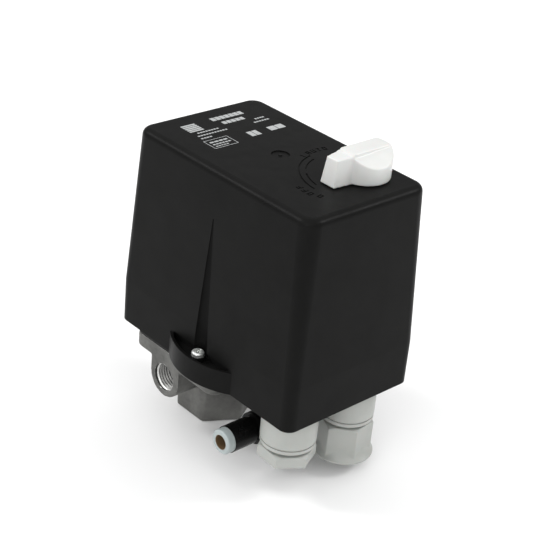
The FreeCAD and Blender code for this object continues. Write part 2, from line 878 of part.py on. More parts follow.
def base_plate():
    """Moulded tray: floor, rim, flange pad, cover-screw ears."""
    half_x = cover_length / 2 - cover_wall - base_gap
    half_y = cover_width / 2 - cover_wall - base_gap
    left = cover_centre_x - half_x
    right = cover_centre_x + half_x
    radius = cover_foot_corner_radius - cover_wall / 2 - base_gap / 2
    tray = rounded_slab(left, right, -half_y, half_y, base_floor_bottom_z, base_rim_top_z, radius)
    tray = tray.cut(rounded_slab(
        left + base_rim_wall, right - base_rim_wall, -half_y + base_rim_wall, half_y - base_rim_wall,
        base_floor_top_z, base_rim_top_z + 1, radius - base_rim_wall / 2
    ))
    pad = rounded_slab(
        flange_left_x + base_pad_inset, flange_right_x - base_pad_inset,
        -flange_half_width + base_pad_inset, flange_half_width - base_pad_inset,
        flange_top_z, base_floor_bottom_z + 0.5, flange_corner_radius
    )
    ears = []
    for side in (-1, 1):
        inner = side * (half_y - 1)
        outer = side * base_ear_reach
        ears.append(block(
            cover_centre_x - base_ear_half_width, cover_centre_x + base_ear_half_width,
            min(inner, outer), max(inner, outer),
            cover_bottom_z + base_gap, cover_bottom_z + lug_floor_z - lug_floor_thickness - base_gap
        ))
    body = joined([tray, pad] + ears)
    holes = [rod(0, 0, flange_top_z - 1, base_floor_top_z + 1, plunger_disc_radius + plunger_clearance)]
    for x in flange_screw_x:
        for y in (-flange_screw_y, flange_screw_y):
            holes.append(rod(
                x, y, flange_top_z - 1, base_floor_top_z - 0.3, flange_screw_radius + running_fit
            ))
    for y in (-gland_y, gland_y):
        holes.append(rod(gland_x, y, base_floor_bottom_z - 1, base_floor_top_z + 1, gland_neck_radius + 0.1))
    for y in (-cover_screw_y, cover_screw_y):
        holes.append(rod(
            cover_centre_x, y, cover_bottom_z, base_rim_top_z, cover_screw_radius + running_fit
        ))
    for low_y, high_y in ((-half_y - 1, -half_y + 4), (half_y - 4, half_y + 1)):
        holes.append(block(
            cover_centre_x - base_notch_half_width, cover_centre_x + base_notch_half_width, low_y, high_y,
            base_rim_top_z - 2, base_rim_top_z + 1
        ))
    holes.append(rod(valve_x, stem_y, base_floor_bottom_z - 1, base_floor_top_z + 1, stem_radius + 0.5))
    for x, y in bracket_screw_places():
        holes.append(rod(
            x, y, base_floor_top_z - bracket_pilot_depth, base_floor_top_z + 1, bracket_pilot_radius
        ))
    return body.cut(holes)


# Cable glands.

def gland_body(y):
    """Plain sleeve below the base, with a bead at its mouth and a threaded neck through the floor."""
    bead_top = gland_bottom_z + gland_bead_height
    groove_top = bead_top + gland_groove_height
    body = joined([
        rod(gland_x, y, groove_top, base_floor_bottom_z, gland_radius),
        rod(gland_x, y, bead_top - overlap, groove_top + overlap, gland_radius - gland_groove_depth),
        rod(gland_x, y, gland_bottom_z, bead_top, gland_radius - overlap),
        rod(gland_x, y, base_floor_bottom_z - overlap, gland_neck_top_z, gland_neck_radius),
    ])
    body = body.cut(rod(gland_x, y, gland_bottom_z - 1, gland_thread_top_z, gland_thread_radius))
    return body.cut(rod(gland_x, y, gland_thread_top_z - 1, gland_neck_top_z + 1, gland_passage_radius))


def gland_locknut(y):
    nut_top = base_floor_top_z + locknut_thickness
    nut = hexagon(gland_x, y, base_floor_top_z, nut_top, locknut_across_flats, 30)
    return nut.cut(rod(gland_x, y, base_floor_top_z - 1, nut_top + 1, gland_neck_radius + running_fit))


def gland_seal(y):
    ring = rod(gland_x, y, gland_seal_low_z, gland_seal_top_z, gland_thread_radius - 0.15)
    return ring.cut(rod(gland_x, y, gland_seal_low_z - 1, gland_seal_top_z + 1, gland_cable_radius - 1.0))


def gland_slip_ring(y):
    ring = rod(gland_x, y, gland_ring_low_z, gland_ring_top_z, gland_thread_radius - 0.2)
    return ring.cut(rod(gland_x, y, gland_ring_low_z - 1, gland_ring_top_z + 1, gland_cable_radius))


def nut_head(y, bottom_z, across_flats, turn_deg):
    """Hexagon with its upper corners turned to a cone."""
    prism = hexagon(gland_x, y, bottom_z, gland_hex_top_z, across_flats, turn_deg)
    corner = across_flats / math.sqrt(3)
    crown_z = gland_hex_top_z - gland_crown_height
    turned = rod(gland_x, y, bottom_z - 1, crown_z, corner + overlap)
    crown = cone(gland_x, y, crown_z, gland_hex_top_z, corner + overlap, corner - 1.25 * gland_crown_height)
    return prism.common(turned.fuse(crown))


def gland_spigot(y):
    return rod(gland_x, y, gland_hex_top_z - overlap, gland_spigot_top_z, gland_thread_radius - 0.1)


def front_gland_nut():
    y = -gland_y
    head = nut_head(y, front_hex_bottom_z, gland_hex_across_flats[0], gland_turn_deg[0])
    body = joined([head, gland_spigot(y)])
    return body.cut(rod(gland_x, y, front_hex_bottom_z - 1, gland_spigot_top_z + 1, gland_cable_radius))


def rear_gland_nut():
    """Tall hexagon that flares into a trumpet mouth, against sharp cable bends."""
    y = gland_y
    head = nut_head(y, rear_flare_bottom_z + 1, gland_hex_across_flats[1], gland_turn_deg[1])
    waist = gland_hex_across_flats[1] / 2 - 0.3
    lip_z = rear_flare_bottom_z + rear_flare_lip
    middle_z = lip_z + 0.3 * (rear_flare_top_z - lip_z)
    middle_radius = waist + 0.35 * (rear_flare_radius - waist)
    profile = [
        Part.LineSegment(
            vec(0, 0, rear_flare_bottom_z), vec(rear_flare_radius - 0.3, 0, rear_flare_bottom_z)
        ),
        Part.LineSegment(
            vec(rear_flare_radius - 0.3, 0, rear_flare_bottom_z), vec(rear_flare_radius, 0, lip_z)
        ),
        Part.Arc(
            vec(rear_flare_radius, 0, lip_z), vec(middle_radius, 0, middle_z),
            vec(waist, 0, rear_flare_top_z)
        ),
        Part.LineSegment(vec(waist, 0, rear_flare_top_z), vec(0, 0, rear_flare_top_z)),
        Part.LineSegment(vec(0, 0, rear_flare_top_z), vec(0, 0, rear_flare_bottom_z)),
    ]
    outline = Part.Face(Part.Wire([curve.toShape() for curve in profile]))
    flare = outline.revolve(vec(0, 0, 0), upward, 360)
    flare.translate(vec(gland_x, y, 0))
    body = joined([head, flare, gland_spigot(y)])
    body = body.cut(rod(gland_x, y, rear_flare_bottom_z - 1, gland_spigot_top_z + 1, gland_cable_radius))
    mouth = cone(
        gland_x, y, rear_flare_bottom_z - outline_tolerance, rear_flare_top_z - 1,
        rear_flare_radius - rear_mouth_wall, gland_cable_radius
    )
    return body.cut(mouth)


# Relief valve.

def valve_body():
    """Black body: a barrel along -Y with the tube port, on an upright stack under the base."""
    mouth_y = valve_front_y + collar_showing
    neck_start = valve_barrel_back_y - overlap
    barrel = rod_along_y(valve_x, valve_z, mouth_y, valve_barrel_back_y, valve_barrel_radius)
    neck = rod_along_y(
        valve_x, valve_z, neck_start, valve_neck_back_y, valve_barrel_radius - valve_neck_step
    )
    shoulder = rod_along_y(
        valve_x, valve_z, valve_neck_back_y - overlap, valve_shoulder_back_y, valve_shoulder_radius
    )
    stack = rod(valve_x, stem_y, valve_z, base_floor_bottom_z, valve_stack_radius)
    body = joined([barrel, neck, shoulder, stack])
    holes = [
        rod_along_y(valve_x, valve_z, mouth_y - 1, mouth_y + collar_recess, collar_radius + 0.12),
        rod_along_y(valve_x, valve_z, mouth_y, sleeve_bore_end_y, sleeve_bore_radius),
        rod_along_y(valve_x, valve_z, sleeve_bore_end_y - 0.5, tube_stop_y, tube_radius),
        rod_along_y(valve_x, valve_z, tube_stop_y - 1, stem_y, valve_passage_radius),
        rod(valve_x, stem_y, valve_chamber_low_z, base_floor_bottom_z + 1, valve_chamber_radius),
    ]
    return body.cut(holes)


def valve_guide():
    low_z = valve_chamber_top_z
    bush = rod(valve_x, stem_y, low_z, base_floor_bottom_z, valve_chamber_radius - running_fit)
    return bush.cut(rod(valve_x, stem_y, low_z - 1, base_floor_bottom_z + 1, stem_radius + running_fit))


def valve_seat():
    ring = rod(valve_x, stem_y, valve_seat_low_z, valve_seat_top_z, valve_chamber_radius - running_fit)
    return ring.cut(rod(valve_x, stem_y, valve_seat_low_z - 1, valve_seat_top_z + 1, valve_seat_hole_radius))


def valve_stem():
    """Pin with a poppet at its foot and a head above the rocker's tongue."""
    web_top = rocker_web_low_z + rocker_web_thickness
    return joined([
        rod(valve_x, stem_y, poppet_low_z, poppet_top_z, poppet_radius),
        rod(valve_x, stem_y, poppet_top_z - overlap, web_top + stem_head_lift + overlap, stem_radius),
        rod(valve_x, stem_y, web_top + stem_head_lift, web_top + stem_head_top, stem_head_radius),
    ])


def valve_spring():
    return coil(
        valve_x, stem_y, poppet_top_z + overlap, valve_chamber_top_z - overlap,
        valve_spring_mean_radius, valve_spring_wire, valve_spring_turns,
    )


def tube_collar():
    """Release collar: flange outside, sleeve inside the barrel."""
    flange_back = valve_front_y + collar_showing + 0.2
    flange = rod_along_y(valve_x, valve_z, valve_front_y, flange_back, collar_radius)
    rim = [edge for edge in flange.Edges if abs(edge.BoundBox.YMax - valve_front_y) < outline_tolerance]
    flange = flange.makeFillet(collar_rim_round, rim)
    sleeve_end = valve_front_y + collar_length
    sleeve = rod_along_y(valve_x, valve_z, flange_back - overlap, sleeve_end, collar_sleeve_radius)
    body = joined([flange, sleeve])
    return body.cut(rod_along_y(valve_x, valve_z, valve_front_y - 1, sleeve_end + 1, tube_radius + 0.1))


def grab_ring():
    """Toothed spring-steel ring that holds the tube."""
    ring = rod_along_y(valve_x, valve_z, grab_ring_low_y, grab_ring_high_y, grab_ring_radius)
    ring = ring.cut(rod_along_y(
        valve_x, valve_z, grab_ring_low_y - 1, grab_ring_high_y + 1, tube_radius + 0.15
    ))
    slots = []
    for index in range(grab_ring_teeth):
        slot = block(
            valve_x + tube_radius - 0.2, valve_x + tube_radius + 0.8,
            grab_ring_low_y - 0.4, grab_ring_high_y + 0.4, valve_z - 0.2, valve_z + 0.2
        )
        slot.rotate(vec(valve_x, 0, valve_z), vec(0, 1, 0), 360 / grab_ring_teeth * index)
        slots.append(slot)
    return ring.cut(slots)


def tube_seal():
    return Part.makeTorus(tube_seal_radius, tube_seal_wire, vec(valve_x, tube_seal_y, valve_z), vec(0, 1, 0))


# Pressure mechanism.

def plunger():
    """Pressure plate on the diaphragm, with its neck and the shoulder that lifts the rocker."""
    return joined([
        rod(0, 0, flange_top_z + running_fit, plunger_disc_top_z, plunger_disc_radius),
        rod(0, 0, plunger_disc_top_z - overlap, seat_bottom_z, plunger_neck_radius),
        rod(0, 0, shoulder_top_z - shoulder_height, shoulder_top_z, shoulder_radius),
    ])


def lower_spring_seat():
    dish_top = seat_bottom_z + seat_thickness
    dish = rod(0, 0, seat_bottom_z, dish_top, seat_radius)
    boss = rod(0, 0, dish_top - overlap, dish_top + seat_boss_height, seat_boss_radius)
    return joined([dish, boss])


def main_spring():
    low_z = seat_bottom_z + seat_thickness
    return coil(
        0, 0, low_z + spring_end_gap, spring_top_z - spring_end_gap, spring_mean_radius,
        spring_wire, spring_turns
    )


def range_nut():
    """Square travelling nut that presses on the main spring."""
    top_z = spring_top_z + range_nut_thickness
    half_width = bracket_y - 0.5
    plate = rounded_slab(
        -range_nut_half_length, range_nut_half_length, -half_width, half_width, spring_top_z, top_z,
        range_nut_corner
    )
    return plate.cut(rod(0, 0, spring_top_z - 1, top_z + 1, range_screw_radius + pin_fit))


def slotted_screw(x, head_radius, shank_radius, shank_low_z, collar_radius, collar_height):
    """Adjusting screw: slotted head above the bracket, collar below it."""
    plate_top = bracket_top_z + bracket_sheet
    head_low = plate_top + screw_end_play
    collar_top = bracket_top_z - screw_end_play
    head = hexagon(x, 0, head_low, head_low + head_radius * 0.9, head_radius * math.sqrt(3), 0)
    shank = rod(x, 0, shank_low_z, head_low + overlap, shank_radius)
    collar = rod(x, 0, collar_top - collar_height, collar_top, collar_radius)
    slot_half_width = head_radius * screw_slot_width_share
    slot = block(
        x - head_radius, x + head_radius, -slot_half_width, slot_half_width,
        plate_top + head_radius * 0.55, plate_top + head_radius * 2
    )
    return joined([head, shank, collar]).cut(slot)


def range_screw():
    return slotted_screw(
        0, range_screw_head_radius, range_screw_radius, range_screw_low_z,
        range_screw_collar_radius, range_screw_collar_height,
    )


def difference_screw():
    return slotted_screw(
        diff_x, diff_screw_head_radius, diff_screw_radius, diff_screw_low_z,
        diff_screw_collar_radius, diff_screw_collar_height,
    )


def difference_nut():
    top_z = diff_spring_top_z + diff_nut_thickness
    plate = rounded_slab(
        diff_x - diff_nut_half_length, diff_x + diff_nut_half_length, -diff_nut_half_width,
        diff_nut_half_width,
        diff_spring_top_z, top_z, diff_nut_corner
    )
    return plate.cut(rod(diff_x, 0, diff_spring_top_z - 1, top_z + 1, diff_screw_radius + pin_fit))


def difference_spring():
    low_z = rocker_web_low_z + rocker_web_thickness + running_fit
    return coil(
        diff_x, 0, low_z, diff_spring_top_z - running_fit,
        diff_spring_mean_radius, diff_spring_wire, diff_spring_turns,
    )


def bracket_screw_places():
    return [(x, y) for x in (-bracket_screw_x, bracket_screw_x) for y in (-bracket_screw_y, bracket_screw_y)]


def spring_bracket():
    """Folded steel stirrup that carries the screws above and the rocker's pin below."""
    top_z = bracket_top_z + bracket_sheet
    parts = [block(-bracket_half_length, diff_x + 4.5, -bracket_y - bracket_sheet, bracket_y + bracket_sheet,
                   bracket_top_z, top_z)]
    for side in (-1, 1):
        inner = side * bracket_y
        outer = side * (bracket_y + bracket_sheet)
        foot = side * (bracket_y + bracket_foot_reach)
        low_y, high_y = min(inner, outer), max(inner, outer)
        parts.append(block(
            -bracket_half_length, bracket_half_length, low_y, high_y, base_floor_top_z,
            bracket_top_z + overlap
        ))
        parts.append(block(
            bracket_pivot_x, -bracket_half_length + overlap, low_y, high_y,
            base_floor_top_z, pivot_z + bracket_pivot_rise
        ))
        parts.append(block(
            -bracket_half_length, bracket_half_length, min(inner, foot), max(inner, foot),
            base_floor_top_z, base_floor_top_z + bracket_sheet
        ))
    body = joined(parts)
    holes = [
        rod_along_y(pivot_x, pivot_z, -20, 20, pivot_radius + pin_fit),
        rod(0, 0, bracket_top_z - 1, top_z + 1, range_screw_radius + pin_fit),
        rod(diff_x, 0, bracket_top_z - 1, top_z + 1, diff_screw_radius + pin_fit),
    ]
    for x, y in bracket_screw_places():
        holes.append(rod(
            x, y, base_floor_top_z - 1, base_floor_top_z + bracket_sheet + 1, bracket_hole_radius
        ))
    return body.cut(holes)


def bracket_screws():
    seat_z = base_floor_top_z + bracket_sheet
    screws = []
    for x, y in bracket_screw_places():
        screws.append(screw(
            x, y, seat_z, bracket_screw_head_radius, bracket_screw_head_height,
            bracket_screw_radius, bracket_screw_length,
        ))
    return Part.makeCompound(screws)


def lever_pin():
    half_length = bracket_y + bracket_sheet + pin_overhang
    pin = rod_along_y(pivot_x, pivot_z, -half_length, half_length, pivot_radius)
    grips = []
    for y in (-half_length, half_length - pin_head_height):
        grips.append(rod_along_y(pivot_x, pivot_z, y, y + pin_head_height, pin_head_radius))
    return joined([pin] + grips)


def rocker():
    """Sheet lever: two arms beside the plunger, a tongue out to the contacts and the valve pin."""
    parts = []
    for side in (-1, 1):
        inner = side * rocker_arm_y
        outer = side * (rocker_arm_y + rocker_arm_thickness)
        low_y, high_y = min(inner, outer), max(inner, outer)
        parts.append(block(pivot_x, rocker_arm_end_x, low_y, high_y, rocker_low_z, rocker_top_z))
        parts.append(rod_along_y(pivot_x, pivot_z + rocker_boss_lift, low_y, high_y, rocker_boss_radius))
        parts.append(rod_along_y(0, rocker_low_z + rocker_nose_lift, low_y, high_y, rocker_nose_radius))
    web_top = rocker_web_low_z + rocker_web_thickness
    parts.append(block(
        rocker_web_start_x, rocker_web_end_x, -rocker_web_half_width, rocker_web_half_width,
        rocker_web_low_z, web_top
    ))
    body = joined(parts)
    holes = [rod_along_y(pivot_x, pivot_z, -20, 20, pivot_radius + pin_fit)]
    holes.append(rod(valve_x, stem_y, rocker_web_low_z - 1, web_top + 1, stem_radius + stem_clearance))
    return body.cut(holes)


# Contact block.

def pole_centres():
    return [pole_pitch * index for index in (-1, 0, 1)]


def contact_housing():
    """Open moulded box with three chambers, standing on four legs."""
    body = block(
        block_left_x, block_right_x, -block_half_width, block_half_width, block_bottom_z, block_top_z
    )
    chambers = []
    inner_left = block_left_x + block_wall
    inner_right = block_right_x - block_wall
    for y in pole_centres():
        half = pole_pitch / 2 - block_wall / 2
        low_y = y - half
        high_y = y + half
        if y < 0:
            low_y = -block_half_width + block_wall
        if y > 0:
            high_y = block_half_width - block_wall
        chambers.append(block(
            inner_left, inner_right, low_y, high_y, block_bottom_z + block_wall, block_top_z + 1
        ))
    body = body.cut(chambers)
    additions = []
    for y in pole_centres():
        for side in (-1, 1):
            inner = bridge_centre_x + side * ledge_near_x
            outer = bridge_centre_x + side * ledge_far_x
            additions.append(block(
                min(inner, outer), max(inner, outer), y - ledge_half_width, y + ledge_half_width,
                block_bottom_z + block_wall - overlap, fixed_tip_z - strip_low_drop
            ))
    for low_x in (block_left_x + block_leg_inset, block_right_x - block_leg_inset - block_leg_length):
        for low_y in (-block_half_width, block_half_width - block_leg_width):
            additions.append(block(
                low_x, low_x + block_leg_length, low_y, low_y + block_leg_width,
                base_floor_top_z, block_bottom_z + overlap
            ))
    boss_low_z = block_top_z - shaft_boss_depth
    additions.append(rod(knob_x, knob_y, boss_low_z, block_top_z, shaft_boss_radius))
    additions.append(block(
        knob_x - shaft_rib_half_width, knob_x + shaft_rib_half_width, shaft_rib_start_y,
        knob_y - shaft_rib_half_width * 2, boss_low_z, block_top_z
    ))
    body = joined([body] + additions)
    slot_left = bridge_centre_x - carrier_slot_half_width
    slot_right = bridge_centre_x + carrier_slot_half_width
    holes = [
        rod(
            knob_x, knob_y, block_top_z - shaft_bush_depth, block_top_z + 1, shaft_bush_radius + running_fit
        ),
        rod(knob_x, knob_y, boss_low_z - 1, block_top_z, shaft_foot_radius + 2 * overlap),
        block(
            slot_left, slot_right, -carrier_slot_half_length, carrier_slot_half_length,
            fixed_tip_z - carrier_bar_height, block_top_z + 1
        ),
        block(
            slot_left, slot_right, carrier_foot_near_y - 0.8, carrier_foot_far_y + 0.6,
            block_bottom_z - 1, block_bottom_z + block_wall + 1
        ),
    ]
    for y in pole_centres():
        for side in (-1, 1):
            x = bridge_centre_x + side * terminal_offset_x
            holes.append(rod(x, y, block_bottom_z + 1, fixed_tip_z, terminal_hole_radius))
    return body.cut(holes)


def fixed_contacts():
    """Six copper strips with silver tips."""
    strips = []
    for y in pole_centres():
        for side in (-1, 1):
            inner = bridge_centre_x + side * strip_near_x
            outer = bridge_centre_x + side * strip_far_x
            strip_top = fixed_tip_z - strip_top_drop
            strip = block(
                min(inner, outer), max(inner, outer), y - strip_half_width, y + strip_half_width,
                fixed_tip_z - strip_low_drop, strip_top
            )
            tip = rod(
                bridge_centre_x + side * tip_offset_x, y, strip_top - overlap, fixed_tip_z, rivet_radius
            )
            hole = rod(
                bridge_centre_x + side * terminal_offset_x, y, fixed_tip_z - 4, fixed_tip_z,
                terminal_hole_radius
            )
            strips.append(joined([strip, tip]).cut(hole))
    return Part.makeCompound(strips)


def terminal_screws():
    screws = []
    for y in pole_centres():
        for side in (-1, 1):
            x = bridge_centre_x + side * terminal_offset_x
            screws.append(screw(
                x, y, fixed_tip_z + strip_top_drop, terminal_screw_head_radius, terminal_screw_head_height,
                terminal_screw_radius, terminal_screw_length,
            ))
    return Part.makeCompound(screws)


def terminal_clamps():
    clamps = []
    for y in pole_centres():
        for side in (-1, 1):
            x = bridge_centre_x + side * terminal_offset_x
            plate = block(
                x - clamp_half_width, x + clamp_half_width, y - clamp_half_width, y + clamp_half_width,
                fixed_tip_z - clamp_half_thickness, fixed_tip_z + clamp_half_thickness
            )
            clamps.append(plate.cut(rod(x, y, fixed_tip_z - 2, fixed_tip_z + 2, terminal_hole_radius)))
    return Part.makeCompound(clamps)


def bridge_low_z():
    return fixed_tip_z + contact_gap + rivet_height


def moving_contacts():
    bridges = []
    low_z = bridge_low_z()
    for y in pole_centres():
        bar = block(
            bridge_centre_x - bridge_half_length, bridge_centre_x + bridge_half_length,
            y - bridge_half_width, y + bridge_half_width, low_z, low_z + bridge_thickness
        )
        tips = []
        for side in (-1, 1):
            tips.append(rod(
                bridge_centre_x + side * tip_offset_x, y, low_z - rivet_height, low_z + overlap, rivet_radius
            ))
        bridges.append(joined([bar] + tips))
    return Part.makeCompound(bridges)


def contact_carrier():
    """Moulded crossbar with a window round each moving bridge and a foot above the rocker."""
    left = bridge_centre_x - carrier_half_width
    right = bridge_centre_x + carrier_half_width
    bar_top = bridge_low_z() - spring_end_gap
    bar_low = bar_top - carrier_bar_height
    parts = [block(left, right, carrier_front_y, carrier_back_y, bar_low, bar_top)]
    for y in pole_centres():
        for side in (-1, 1):
            inner = y + side * carrier_window_half
            outer = y + side * carrier_post_half
            parts.append(block(
                left, right, min(inner, outer), max(inner, outer), bar_top - overlap, carrier_top_z
            ))
        parts.append(block(
            left, right, y - carrier_post_half, y + carrier_post_half,
            carrier_top_z - carrier_lintel, carrier_top_z
        ))
    foot_bottom = rocker_web_low_z + rocker_web_thickness + contact_gap + carrier_foot_gap
    parts.append(block(
        bridge_centre_x - carrier_foot_half_width, bridge_centre_x + carrier_foot_half_width,
        carrier_foot_near_y, carrier_foot_far_y, foot_bottom, bar_low + overlap
    ))
    return joined(parts)


def contact_springs():
    low_z = bridge_low_z() + bridge_thickness + spring_end_gap
    top_z = carrier_top_z - carrier_lintel - spring_end_gap
    springs = []
    for y in pole_centres():
        springs.append(coil(
            bridge_centre_x, y, low_z, top_z,
            contact_spring_mean_radius, contact_spring_wire, contact_spring_turns,
        ))
    return Part.makeCompound(springs)


def switching_slide():
    """Slide lifted by the knob's cam; its hook holds the contact carrier off."""
    left = bridge_centre_x - slide_half_width
    right = bridge_centre_x + slide_half_width
    hook_top = bridge_low_z() - spring_end_gap - carrier_bar_height - screw_end_play
    hook_low = hook_top - slide_hook_height
    arm_low = relay_bottom_z + slide_arm_lift
    arm_top = arm_low + slide_arm_height
    return joined([
        block(left, right, slide_post_near_y, slide_post_far_y, hook_low, arm_top),
        block(left, right, slide_hook_y, slide_post_near_y + overlap, hook_low, hook_top),
        block(left, slide_arm_end_x, slide_arm_low_y, slide_post_far_y, arm_low, arm_top),
        rod(knob_x - follower_offset_x, knob_y, arm_top - overlap, follower_top_z, follower_radius),
    ]).cut(rod(knob_x, knob_y, arm_low - 1, arm_top + 1, shaft_foot_radius + 0.6))


# Overload relay.

def relay_housing():
    body = block(relay_left_x, relay_right_x, relay_front_y, relay_back_y, relay_bottom_z, relay_top_z)
    inside = block(
        relay_left_x + relay_wall, relay_right_x - relay_wall, relay_front_y + relay_wall,
        relay_back_y - relay_wall, relay_bottom_z - 1, relay_top_z - relay_wall
    )
    body = body.cut(inside)
    floor = block(
        relay_left_x + 1, relay_right_x - 1, relay_front_y + 1, relay_back_y - 1, relay_bottom_z,
        relay_bottom_z + relay_wall
    )
    dial_hole = rod(
        dial_x, dial_y, relay_top_z - relay_wall - 1, relay_top_z + 1, dial_stem_radius + running_fit
    )
    return body.fuse(floor).removeSplitter().cut(dial_hole)


def heater_places():
    return [relay_left_x + heater_inset + heater_pitch * index for index in range(heater_count)]


def bimetal_strips():
    floor_z = relay_bottom_z + relay_wall
    strips = []
    for x in heater_places():
        strips.append(block(
            x - strip_half_thickness, x + strip_half_thickness,
            strip_y - bimetal_half_width, strip_y + bimetal_half_width, floor_z, bimetal_top_z
        ))
    return Part.makeCompound(strips)


def heater_windings():
    """Flat heater sleeves round each bimetal strip."""
    sleeves = []
    for x in heater_places():
        sleeve = rounded_slab(
            x - heater_half_width, x + heater_half_width,
            strip_y - heater_half_length, strip_y + heater_half_length, heater_low_z, heater_top_z, 1.5
        )
        inner_half_width = heater_half_width - heater_wall
        inner_half_length = heater_half_length - heater_wall
        sleeves.append(sleeve.cut(rounded_slab(
            x - inner_half_width, x + inner_half_width,
            strip_y - inner_half_length, strip_y + inner_half_length, heater_low_z - 1, heater_top_z + 1, 1.0
        )))
    return Part.makeCompound(sleeves)


def trip_slide():
    """Thin bar pushed along +X by the bending strips."""
    places = heater_places()
    bar = block(
        places[0] - 4, places[-1] + 4, strip_y - bimetal_half_width - 1.5,
        strip_y + bimetal_half_width + 1.5,
        trip_slide_low_z, trip_slide_top_z
    )
    windows = []
    for x in places:
        windows.append(block(
            x - strip_half_thickness - 2.1, x + strip_half_thickness + 0.3,
            strip_y - bimetal_half_width - 0.4, strip_y + bimetal_half_width + 0.4,
            trip_slide_low_z - 1, trip_slide_top_z + 1
        ))
    return bar.cut(windows)


def current_dial():
    """Small setting dial with a fluted rim and a screwdriver slot."""
    top_z = relay_top_z + dial_height
    head = rod(dial_x, dial_y, relay_top_z + 2 * overlap, top_z, dial_radius)
    stem = rod(dial_x, dial_y, relay_top_z - dial_stem_depth, relay_top_z + 3 * overlap, dial_stem_radius)
    cuts = [block(
        dial_x - dial_slot_half_length, dial_x + dial_slot_half_length,
        dial_y - dial_slot_half_width, dial_y + dial_slot_half_width, top_z - 1, top_z + 1
    )]
    reach = dial_radius + dial_flute_radius - dial_flute_depth
    for index in range(dial_flutes):
        angle = 2 * math.pi * index / dial_flutes
        cuts.append(rod(
            dial_x + reach * math.cos(angle), dial_y + reach * math.sin(angle),
            relay_top_z, top_z + 1, dial_flute_radius
        ))
    return joined([head, stem]).cut(cuts)


# Protective earth.

def earth_places():
    return (gland_x - earth_screw_offset, gland_x + earth_screw_offset)


def earth_plate():
    top_z = base_floor_top_z + earth_plate_thickness
    plate = block(
        gland_x - earth_plate_half_length, gland_x + earth_plate_half_length,
        -earth_plate_half_width, earth_plate_half_width, base_floor_top_z, top_z
    )
    holes = []
    for x in earth_places():
        holes.append(rod(x, 0, base_floor_top_z - 1, top_z + 1, earth_hole_radius))
    return plate.cut(holes)


def earth_screws():
    screws = []
    for x in earth_places():
        screws.append(screw(
            x, 0, base_floor_top_z + earth_plate_thickness, earth_screw_head_radius, earth_screw_head_height,
            terminal_screw_radius, earth_plate_thickness - overlap,
        ))
    return Part.makeCompound(screws)


makers = {
    "cover": cover,
    "cover_screws": cover_screws,
    "rotary_knob": rotary_knob,
    "knob_shaft": knob_shaft,
    "shaft_bush": shaft_bush,
    "pressure_flange": pressure_flange,
    "diaphragm": diaphragm,
    "flange_screws": flange_screws,
    "base_plate": base_plate,
    "front_gland_nut": front_gland_nut,
    "rear_gland_nut": rear_gland_nut,
    "valve_body": valve_body,
    "valve_guide": valve_guide,
    "valve_seat": valve_seat,
    "valve_stem": valve_stem,
    "valve_spring": valve_spring,
    "tube_collar": tube_collar,
    "grab_ring": grab_ring,
    "tube_seal": tube_seal,
    "plunger": plunger,
    "lower_spring_seat": lower_spring_seat,
    "main_spring": main_spring,
    "range_nut": range_nut,
    "range_screw": range_screw,
    "difference_screw": difference_screw,
    "difference_nut": difference_nut,
    "difference_spring": difference_spring,
    "spring_bracket": spring_bracket,
    "bracket_screws": bracket_screws,
    "lever_pin": lever_pin,
    "rocker": rocker,
    "contact_housing": contact_housing,
    "fixed_contacts": fixed_contacts,
    "terminal_screws": terminal_screws,
    "terminal_clamps": terminal_clamps,
    "moving_contacts": moving_contacts,
    "contact_carrier": contact_carrier,
    "contact_springs": contact_springs,
    "switching_slide": switching_slide,
    "relay_housing": relay_housing,
    "bimetal_strips": bimetal_strips,
    "heater_windings": heater_windings,
    "trip_slide": trip_slide,
    "current_dial": current_dial,
    "earth_plate": earth_plate,
    "earth_screws": earth_screws,
}

os.makedirs("parts", exist_ok=True)

for name, maker in makers.items():
    shape = maker()
    shape.exportStep("parts/" + name + ".step")
    print(name, "solids", len(shape.Solids), "valid", shape.isValid(), "volume", round(shape.Volume, 1))

for place, y in (("front", -gland_y), ("rear", gland_y)):
    for piece, maker in (
        ("gland_body", gland_body),
        ("gland_locknut", gland_locknut),
        ("gland_seal", gland_seal),
        ("gland_slip_ring", gland_slip_ring),
    ):
        name = place + "_" + piece
        shape = maker(y)
        shape.exportStep("parts/" + name + ".step")
        print(name, "solids", len(shape.Solids), "valid", shape.isValid(), "volume", round(shape.Volume, 1))
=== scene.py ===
import json
import math

import bmesh
import bpy
from mathutils import Matrix, Vector


